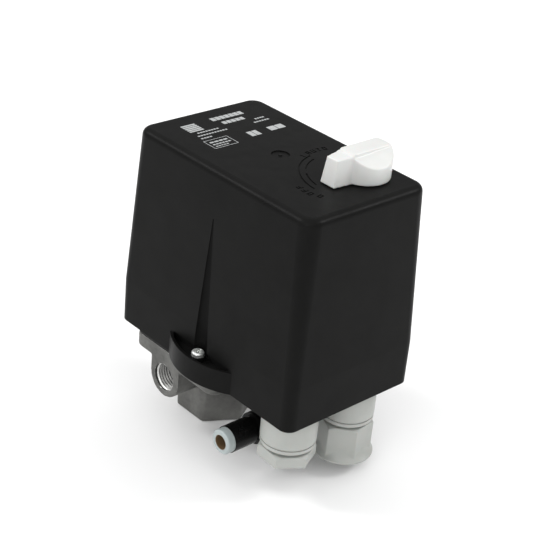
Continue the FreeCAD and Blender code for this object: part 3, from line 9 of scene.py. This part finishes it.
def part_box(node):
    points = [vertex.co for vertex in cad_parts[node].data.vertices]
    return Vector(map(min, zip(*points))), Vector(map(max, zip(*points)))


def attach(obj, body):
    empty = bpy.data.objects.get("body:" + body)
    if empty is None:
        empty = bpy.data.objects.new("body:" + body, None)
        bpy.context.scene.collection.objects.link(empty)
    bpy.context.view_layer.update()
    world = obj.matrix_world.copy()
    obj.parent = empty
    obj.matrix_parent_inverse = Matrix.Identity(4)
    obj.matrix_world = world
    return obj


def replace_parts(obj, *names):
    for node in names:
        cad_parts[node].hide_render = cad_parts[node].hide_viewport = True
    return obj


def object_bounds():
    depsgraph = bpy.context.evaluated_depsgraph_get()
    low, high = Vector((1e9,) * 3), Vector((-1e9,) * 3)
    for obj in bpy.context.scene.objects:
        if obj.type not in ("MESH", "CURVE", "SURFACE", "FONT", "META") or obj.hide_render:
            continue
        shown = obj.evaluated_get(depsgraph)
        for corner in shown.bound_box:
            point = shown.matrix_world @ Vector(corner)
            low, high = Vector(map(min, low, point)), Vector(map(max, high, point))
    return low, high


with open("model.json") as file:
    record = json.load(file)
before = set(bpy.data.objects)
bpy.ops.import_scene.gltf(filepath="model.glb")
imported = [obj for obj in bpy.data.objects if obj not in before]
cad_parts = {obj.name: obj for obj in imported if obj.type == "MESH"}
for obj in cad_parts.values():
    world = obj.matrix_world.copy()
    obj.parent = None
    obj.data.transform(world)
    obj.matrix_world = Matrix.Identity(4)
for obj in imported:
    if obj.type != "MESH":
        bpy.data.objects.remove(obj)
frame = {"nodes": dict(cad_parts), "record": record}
cadLow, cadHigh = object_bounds()
print("frame loaded:", len(frame["nodes"]), "nodes")

mm = 0.001
scene = bpy.context.scene
scene.view_settings.view_transform = "Standard"


# camera

cameraSet = {
    "place": (0.40336, -0.36645, 0.36830),
    "yaw": 44.00,
    "pitch": 27.93,
    "roll": 6.41,
    "lens": 93.91,
    "sensorWidth": 36,
    "shift": (-0.0710, -0.0216),
    "clip": (0.01, 20),
}


def makeCamera(c):
    yaw, pitch, roll = (math.radians(c[key]) for key in ("yaw", "pitch", "roll"))
    back = Vector((math.sin(yaw) * math.cos(pitch), -math.cos(yaw) * math.cos(pitch), math.sin(pitch)))
    right = Vector((math.cos(yaw), math.sin(yaw), 0))
    up = back.cross(right)
    tiltedRight = right * math.cos(roll) + up * math.sin(roll)
    tiltedUp = up * math.cos(roll) - right * math.sin(roll)
    data = bpy.data.cameras.new("studioCamera")
    data.lens = c["lens"]
    data.sensor_width = c["sensorWidth"]
    data.shift_x, data.shift_y = c["shift"]
    data.clip_start, data.clip_end = c["clip"]
    camera = bpy.data.objects.new("studioCamera", data)
    scene.collection.objects.link(camera)
    turn = Matrix((tiltedRight, tiltedUp, back)).transposed().to_4x4()
    camera.matrix_world = Matrix.Translation(c["place"]) @ turn
    scene.camera = camera


makeCamera(cameraSet)
print("camera ready")


# node helpers

def newMaterial(name):
    material = bpy.data.materials.new(name)
    material.use_nodes = True
    tree = material.node_tree
    shader = tree.nodes["Principled BSDF"]
    place = tree.nodes.new("ShaderNodeTexCoord")
    return material, tree, shader, place.outputs["Object"]


def noiseNode(tree, coords, scale, detail=3.0, roughness=0.5, stretch=None):
    if stretch:
        mapping = tree.nodes.new("ShaderNodeMapping")
        mapping.inputs["Scale"].default_value = stretch
        tree.links.new(coords, mapping.inputs["Vector"])
        coords = mapping.outputs["Vector"]
    noise = tree.nodes.new("ShaderNodeTexNoise")
    noise.inputs["Scale"].default_value = scale
    noise.inputs["Detail"].default_value = detail
    noise.inputs["Roughness"].default_value = roughness
    tree.links.new(coords, noise.inputs["Vector"])
    return noise.outputs["Fac"]


def spread(tree, value, low, high, fromLow=0.3, fromHigh=0.7):
    node = tree.nodes.new("ShaderNodeMapRange")
    node.inputs["From Min"].default_value = fromLow
    node.inputs["From Max"].default_value = fromHigh
    node.inputs["To Min"].default_value = low
    node.inputs["To Max"].default_value = high
    tree.links.new(value, node.inputs["Value"])
    return node.outputs["Result"]


def blendColours(tree, share, first, second):
    # first is a plain colour or the socket of the paint below, second is a plain colour
    node = tree.nodes.new("ShaderNodeMix")
    node.data_type = "RGBA"
    if isinstance(first, tuple):
        node.inputs["A"].default_value = (*first, 1)
    else:
        tree.links.new(first, node.inputs["A"])
    node.inputs["B"].default_value = (*second, 1)
    tree.links.new(share, node.inputs["Factor"])
    return node.outputs["Result"]


def bumpNode(tree, height, strength, distance, below=None):
    node = tree.nodes.new("ShaderNodeBump")
    node.inputs["Strength"].default_value = strength
    node.inputs["Distance"].default_value = distance
    tree.links.new(height, node.inputs["Height"])
    if below:
        tree.links.new(below, node.inputs["Normal"])
    return node.outputs["Normal"]


def paintedEdgeHighlight(tree, paint, s):
    # painted highlight: the raised edges are painted lighter, so they read as edges that catch the light
    shape = tree.nodes.new("ShaderNodeNewGeometry")
    edge = spread(tree, shape.outputs["Pointiness"], 0.0, 1.0, *s["edgeHighlightSharpness"])
    return blendColours(tree, edge, paint, s["edgeHighlightColour"])


def shadedBrownBore(tree, coords, paint, s):
    # the tube hole inside the collar is painted dark brown: the brown of the part inside, darkened with
    # painted shade in the hole
    mapping = tree.nodes.new("ShaderNodeMapping")
    mapping.inputs["Location"].default_value = (-s["boreCentre"][0], 0, -s["boreCentre"][1])
    mapping.inputs["Scale"].default_value = (1, 0, 1)
    tree.links.new(coords, mapping.inputs["Vector"])
    length = tree.nodes.new("ShaderNodeVectorMath")
    length.operation = "LENGTH"
    tree.links.new(mapping.outputs["Vector"], length.inputs[0])
    inside = spread(tree, length.outputs["Value"], 1.0, 0.0, s["boreRadius"], s["boreRadius"] + s["boreFade"])
    return blendColours(tree, inside, paint, s["shadedBoreBrown"])


glowDepth = 0.0015  # how far light reaches into the pale mouldings


def surfaceMaterial(name, s):
    # colour mottle, uneven gloss, fine grain and a long soft wave, all from one dictionary
    material, tree, shader, coords = newMaterial(name)
    mottle = noiseNode(tree, coords, s["mottleScale"], 4.0, 0.6, s.get("stretch"))
    share = spread(tree, mottle, 0.0, 1.0)
    paint = blendColours(tree, share, s["colour"], s["colourTwo"])
    # painted highlight on the raised edges
    if "edgeHighlightColour" in s:
        paint = paintedEdgeHighlight(tree, paint, s)
    # partly painted shade: the bore wall inside the collar is darkened
    if "shadedBoreBrown" in s:
        paint = shadedBrownBore(tree, coords, paint, s)
    tree.links.new(paint, shader.inputs["Base Color"])
    gloss = noiseNode(tree, coords, s["glossScale"], 3.0, 0.55, s.get("stretch"))
    tree.links.new(spread(tree, gloss, *s["roughness"]), shader.inputs["Roughness"])
    wave = noiseNode(tree, coords, s["waveScale"], 2.0, 0.4)
    soft = bumpNode(tree, wave, s["waveStrength"], s["waveDepth"])
    grain = noiseNode(tree, coords, s["grainScale"], 2.0, 0.6, s.get("stretch"))
    tree.links.new(bumpNode(tree, grain, s["grainStrength"], s["grainDepth"], soft), shader.inputs["Normal"])
    shader.inputs["Metallic"].default_value = s.get("metallic", 0.0)
    shader.inputs["Specular IOR Level"].default_value = s.get("specular", 0.5)
    shader.inputs["Subsurface Weight"].default_value = s.get("depthGlow", 0.0)
    shader.inputs["Subsurface Scale"].default_value = glowDepth
    return material


plastic = {
    "mottleScale": 60, "glossScale": 140, "waveScale": 45, "waveStrength": 0.12, "waveDepth": 0.0002,
    "grainScale": 2600, "grainStrength": 0.25, "grainDepth": 0.00004,
}
metal = {
    "mottleScale": 220, "glossScale": 500, "waveScale": 120, "waveStrength": 0.1, "waveDepth": 0.0001,
    "grainScale": 3000, "grainStrength": 0.2, "grainDepth": 0.00003, "metallic": 1.0,
}

finishes = {
    "cover_black": {**plastic, "colour": (0.0060, 0.0060, 0.0058), "colourTwo": (0.0078, 0.0078, 0.0076),
                    "roughness": (0.33, 0.42), "grainStrength": 0.45, "grainDepth": 0.00006,
                    "specular": 0.045},
    "knob_white": {**plastic, "colour": (0.60, 0.605, 0.59), "colourTwo": (0.645, 0.65, 0.635),
                   "roughness": (0.28, 0.36), "grainStrength": 0.08, "depthGlow": 0.08},
    "base_black": {**plastic, "colour": (0.012, 0.012, 0.012), "colourTwo": (0.017, 0.017, 0.017),
                   "roughness": (0.55, 0.66)},
    "cast_aluminium": {**metal, "colour": (0.10, 0.10, 0.095), "colourTwo": (0.20, 0.20, 0.19),
                       "roughness": (0.42, 0.60), "mottleScale": 90, "grainScale": 1500,
                       "grainStrength": 0.55, "grainDepth": 0.00012, "metallic": 0.85,
                       # the edge colour is a painted highlight on raised edges and thread crests
                       "edgeHighlightColour": (0.80, 0.80, 0.78), "edgeHighlightSharpness": (0.535, 0.60)},
    "zinc_steel": {**metal, "colour": (0.74, 0.76, 0.75), "colourTwo": (0.84, 0.85, 0.82),
                   "roughness": (0.22, 0.34), "metallic": 0.75},
    "plain_steel": {**metal, "colour": (0.42, 0.43, 0.44), "colourTwo": (0.50, 0.51, 0.51),
                    "roughness": (0.30, 0.42), "stretch": (1, 8, 1)},
    "spring_steel": {**metal, "colour": (0.28, 0.29, 0.31), "colourTwo": (0.34, 0.35, 0.37),
                     "roughness": (0.24, 0.36)},
    "gland_grey": {**plastic, "colour": (0.34, 0.35, 0.33), "colourTwo": (0.38, 0.39, 0.37),
                   "roughness": (0.34, 0.44), "grainStrength": 0.1, "depthGlow": 0.06},
    "valve_black": {**plastic, "colour": (0.003, 0.003, 0.003), "colourTwo": (0.005, 0.005, 0.005),
                    "roughness": (0.22, 0.30), "grainStrength": 0.12, "specular": 0.14},
    "collar_grey": {**plastic, "colour": (0.27, 0.305, 0.305), "colourTwo": (0.41, 0.46, 0.46),
                    "roughness": (0.30, 0.40), "grainStrength": 0.08,
                    "boreCentre": (0.0456, 0.0189), "boreRadius": 0.0033, "boreFade": 0.0002,
                    # the bore brown is partly the inner part's own brown and partly painted shade
                    "shadedBoreBrown": (0.13, 0.085, 0.045)},
    "rubber_black": {**plastic, "colour": (0.014, 0.014, 0.014), "colourTwo": (0.02, 0.02, 0.02),
                     "roughness": (0.62, 0.78)},
    "brass": {**metal, "colour": (0.60, 0.42, 0.18), "colourTwo": (0.70, 0.52, 0.26),
              "roughness": (0.22, 0.34)},
    "copper": {**metal, "colour": (0.62, 0.33, 0.20), "colourTwo": (0.72, 0.43, 0.28),
               "roughness": (0.24, 0.38)},
    "moulded_grey": {**plastic, "colour": (0.085, 0.09, 0.095), "colourTwo": (0.11, 0.115, 0.12),
                     "roughness": (0.48, 0.60)},
    "moulded_cream": {**plastic, "colour": (0.60, 0.56, 0.44), "colourTwo": (0.66, 0.62, 0.50),
                      "roughness": (0.40, 0.52), "depthGlow": 0.08},
}
materials = {slotName: surfaceMaterial(slotName, s) for slotName, s in finishes.items()}


def dressCadNodes():
    for part in frame["record"]["subparts"]:
        node = frame["nodes"][part["node"]]
        node.data.materials.clear()
        node.data.materials.append(materials[part["material_slot"]])


dressCadNodes()
print("materials on every node")


# piece helpers

weldDistance = 2e-6
mouldedAngle = 60  # degrees, above which an edge between faces stays sharp


def pieceFrom(bm, name, slotName, body, smoothAngle=None):
    data = bpy.data.meshes.new(name)
    bm.to_mesh(data)
    bm.free()
    piece = bpy.data.objects.new(name, data)
    scene.collection.objects.link(piece)
    data.materials.append(materials[slotName])
    if smoothAngle is not None:
        data.shade_smooth()
        data.set_sharp_from_angle(angle=math.radians(smoothAngle))
    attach(piece, body)
    return piece


def mergedCopy(node):
    bm = bmesh.new()
    bm.from_mesh(frame["nodes"][node].data)
    bmesh.ops.remove_doubles(bm, verts=bm.verts[:], dist=weldDistance)
    return bm


def remeshedCopy(node, voxel, rounds):
    # even facets all over, then rounds of smoothing turn the sharp edges into moulded or cast ones
    bm = mergedCopy(node)
    data = bpy.data.meshes.new(node + "Draft")
    bm.to_mesh(data)
    bm.free()
    draft = bpy.data.objects.new(node + "Draft", data)
    scene.collection.objects.link(draft)
    remesh = draft.modifiers.new("even", "REMESH")
    remesh.mode = "VOXEL"
    remesh.voxel_size = voxel * mm
    evaluated = draft.evaluated_get(bpy.context.evaluated_depsgraph_get())
    bm = bmesh.new()
    bm.from_mesh(evaluated.to_mesh())
    bpy.data.objects.remove(draft)
    for _ in range(rounds):
        bmesh.ops.smooth_vert(
            bm, verts=bm.verts[:], factor=0.5, use_axis_x=True, use_axis_y=True, use_axis_z=True,
        )
    return bm


def keptInBox(bm, node):
    low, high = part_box(node)
    for v in bm.verts:
        v.co = Vector(min(max(v.co[i], low[i]), high[i]) for i in range(3))


# cast flange with softened casting edges

flangeSet = {
    "voxel": 0.45,
    "smoothRounds": 6,
    "sidePortZ": 25.0,
    "sidePortCore": 5.8,
    "sidePortRoot": 6.45,
    "sidePortDepth": 11.6,
    "bottomPortCore": 9.3,
    "bottomPortRoot": 10.3,
    "bottomPortDepth": 14.6,
    "wallMargin": 0.5,  # how far outside its core a point still belongs to the port's wall
}


def makeFlange(s):
    # the walls of the ports go back to the roots of their threads, which are pieces of their own
    bm = remeshedCopy("pressure_flange", s["voxel"], s["smoothRounds"])
    low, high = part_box("pressure_flange")
    for v in bm.verts:
        co = v.co
        spoke = Vector((co.x, 0, co.z - s["sidePortZ"] * mm))
        nearMouth = min(co.y - low.y, high.y - co.y) < s["sidePortDepth"] * mm
        if nearMouth and spoke.length < (s["sidePortCore"] + s["wallMargin"]) * mm:
            spoke = spoke.normalized() * s["sidePortRoot"] * mm
            v.co = Vector((spoke.x, co.y, s["sidePortZ"] * mm + spoke.z))
        spoke = Vector((co.x, co.y, 0))
        nearMouth = co.z < s["bottomPortDepth"] * mm
        if nearMouth and spoke.length < (s["bottomPortCore"] + s["wallMargin"]) * mm:
            spoke = spoke.normalized() * s["bottomPortRoot"] * mm
            v.co = Vector((spoke.x, spoke.y, co.z))
    keptInBox(bm, "pressure_flange")
    piece = pieceFrom(bm, "castFlange", "cast_aluminium", "housing", mouldedAngle)
    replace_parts(piece, "pressure_flange")


makeFlange(flangeSet)
print("cast flange softened")


# moulded pieces with rounded edges

mouldedSet = {
    # node: piece, finish, body, voxel, rounds of smoothing
    "rotary_knob": ("mouldedKnob", "knob_white", "selector", 0.27, 9),
    "front_gland_nut": ("frontNut", "gland_grey", "housing", 0.30, 3),
    "rear_gland_nut": ("rearNut", "gland_grey", "housing", 0.30, 3),
}


def makeMoulded(s):
    for node, (name, slotName, body, voxel, rounds) in s.items():
        bm = remeshedCopy(node, voxel, rounds)
        keptInBox(bm, node)
        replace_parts(pieceFrom(bm, name, slotName, body, mouldedAngle), node)


makeMoulded(mouldedSet)
print("moulded edges rounded")


# threads in the three ports

threadSet = {
    "side": {"core": 5.82, "root": 6.5, "pitch": 1.337, "turns": 8, "lead": 0.5},
    "bottom": {"core": 9.32, "root": 10.35, "pitch": 1.814, "turns": 7, "lead": 0.6},
    "crestDepth": 0.08,
    "crestHalf": 0.08,
    "backing": 0.15,
    "stepsPerTurn": 40,
    "sharpAngle": 40,
    "weld": 1e-6,
}


def makeThread(name, centre, axis, port, s):
    # a V ridge wound round the port's axis, pointing inwards
    t = s[port]
    centre, axis = Vector(centre), Vector(axis)
    side = axis.orthogonal().normalized()
    base = centre + axis * t["lead"] * mm
    half = t["pitch"] / 2
    crest = t["core"] + s["crestDepth"]
    bm = bmesh.new()
    ring = [bm.verts.new(base + side * radius * mm + axis * along * mm) for radius, along in (
        (t["root"], 0.0), (crest, half - s["crestHalf"]), (crest, half + s["crestHalf"]),
        (t["root"], t["pitch"]), (t["root"] + s["backing"], half),
    )]
    edges = [bm.edges.new((ring[i], ring[(i + 1) % len(ring)])) for i in range(len(ring))]
    bmesh.ops.spin(
        bm, geom=ring + edges, cent=centre, axis=axis, dvec=axis * t["pitch"] * mm / s["stepsPerTurn"],
        angle=2 * math.pi * t["turns"], steps=s["stepsPerTurn"] * t["turns"],
        use_merge=False, use_duplicate=False,
    )
    bmesh.ops.remove_doubles(bm, verts=bm.verts[:], dist=s["weld"])
    loose = [edge for edge in bm.edges if edge.is_boundary]
    bmesh.ops.holes_fill(bm, edges=loose, sides=8)
    bmesh.ops.recalc_face_normals(bm, faces=bm.faces[:])
    pieceFrom(bm, name, "cast_aluminium", "housing", s["sharpAngle"])


makeThread("frontSideThread", (0, -0.0315, 0.025), (0, 1, 0), "side", threadSet)
makeThread("rearSideThread", (0, 0.0315, 0.025), (0, -1, 0), "side", threadSet)
makeThread("bottomThread", (0, 0, 0), (0, 0, 1), "bottom", threadSet)
print("threads cut")


# pale printing on the cover: rows of dashes, a block of lines and a framed panel

printSet = {
    "lift": 0.03,
    "ink": (0.30, 0.31, 0.31),
    "inkTwo": (0.44, 0.45, 0.45),
    "wearScale": 1800,
    "inkRoughness": 0.6,
    "gap": 0.34,
    "rows": [
        # centre x, centre y, height along x, length along y, dashes
        (-14.4, 6.4, 3.0, 17.5, 7), (-9.4, 5.9, 2.6, 12.0, 5),
        (-6.2, -10.6, 0.9, 11.6, 8), (-3.6, -10.2, 0.9, 16.0, 11), (-1.0, -15.6, 0.9, 6.0, 4),
        (-6.0, 17.6, 1.0, 5.4, 4), (-3.2, 16.4, 1.0, 8.6, 6),
        (5.4, 4.7, 4.6, 5.6, 2), (5.2, 17.3, 3.8, 8.6, 2),
        (4.0, -13.4, 1.1, 9.6, 4), (6.2, -13.4, 0.9, 9.6, 6), (8.0, -14.6, 0.7, 7.0, 5),
    ],
    "block": (-11.6, -14.7, 7.4, 7.4),
    "blockLines": 5,
    "panel": (5.6, -13.4, 7.8, 12.2),
    "panelLine": 0.28,
}


def printInk(s):
    material, tree, shader, coords = newMaterial("printInk")
    wear = spread(tree, noiseNode(tree, coords, s["wearScale"]), 0.0, 1.0)
    tree.links.new(blendColours(tree, wear, s["ink"], s["inkTwo"]), shader.inputs["Base Color"])
    shader.inputs["Roughness"].default_value = s["inkRoughness"]
    return material


def makePrint(s):
    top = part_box("cover")[1].z + s["lift"] * mm
    plates = []
    for x, y, tall, wide, dashes in s["rows"]:
        pitch = wide / dashes
        for i in range(dashes):
            plates.append((x, y - wide / 2 + pitch * (i + 0.5), tall, pitch - s["gap"]))
    x, y, tall, wide = s["block"]
    pitch = tall / s["blockLines"]
    for i in range(s["blockLines"]):
        plates.append((x - tall / 2 + pitch * (i + 0.5), y, pitch - s["gap"], wide))
    x, y, tall, wide = s["panel"]
    line = s["panelLine"]
    plates += [(x - tall / 2, y, line, wide), (x + tall / 2, y, line, wide)]
    plates += [(x, y - wide / 2, tall, line), (x, y + wide / 2, tall, line)]
    bm = bmesh.new()
    for cx, cy, tall, wide in plates:
        made = bmesh.ops.create_grid(bm, x_segments=1, y_segments=1, size=0.5)
        place = Matrix.Translation((cx * mm, cy * mm, top)) @ Matrix.Diagonal((tall * mm, wide * mm, 1, 1))
        bmesh.ops.transform(bm, matrix=place, verts=made["verts"])
    piece = pieceFrom(bm, "printedMarks", "knob_white", "housing")
    piece.data.materials[0] = printInk(s)


makePrint(printSet)
print("printing laid")


# studio

studioSet = {
    "floorSize": 6.0,
    "floorDrop": 0.0002,
    "floorColour": (0.90, 0.90, 0.90),
    "floorRoughness": 0.9,
    "worldColour": (1.0, 1.0, 1.0),
    "worldStrength": 0.48,
    "suns": [
        # name, the direction it comes from, strength, width in degrees
        ("keySun", (-0.62, -0.49, 0.61), 1.0, 14.0),
        ("overheadSun", (0.10, -0.20, 1.0), 1.75, 120.0),
    ],
    "lights": [
        # name, place, size, watts
        ("rimLight", (0.62, 0.80, 0.80), 0.26, 4.5),
        ("fillLight", (0.55, -1.25, 0.75), 0.9, 5.0),
    ],
}


def addLamp(name, light, place, backwards):
    lamp = bpy.data.objects.new(name, light)
    scene.collection.objects.link(lamp)
    lamp.location = place
    lamp.rotation_mode = "QUATERNION"
    lamp.rotation_quaternion = backwards.to_track_quat("Z", "Y")


def makeStudio(s):
    bm = bmesh.new()
    bmesh.ops.create_grid(bm, x_segments=1, y_segments=1, size=s["floorSize"] / 2)
    bmesh.ops.translate(bm, vec=(0, 0, -s["floorDrop"]), verts=bm.verts[:])
    data = bpy.data.meshes.new("studioFloor")
    bm.to_mesh(data)
    bm.free()
    floor = bpy.data.objects.new("studioFloor", data)
    scene.collection.objects.link(floor)
    material, _, shader, _ = newMaterial("floorPaint")
    shader.inputs["Base Color"].default_value = (*s["floorColour"], 1)
    shader.inputs["Roughness"].default_value = s["floorRoughness"]
    data.materials.append(material)
    world = bpy.data.worlds.new("studioWorld")
    world.use_nodes = True
    background = world.node_tree.nodes["Background"]
    background.inputs["Color"].default_value = (*s["worldColour"], 1)
    background.inputs["Strength"].default_value = s["worldStrength"]
    scene.world = world
    for name, towards, strength, wide in s["suns"]:
        sun = bpy.data.lights.new(name, "SUN")
        sun.energy = strength
        sun.angle = math.radians(wide)
        addLamp(name, sun, towards, Vector(towards))
    aim = (cadLow + cadHigh) / 2
    for name, place, size, watts in s["lights"]:
        light = bpy.data.lights.new(name, "AREA")
        light.shape = "SQUARE"
        light.size = size
        light.energy = watts
        addLamp(name, light, place, Vector(place) - aim)


makeStudio(studioSet)
print("studio lit")
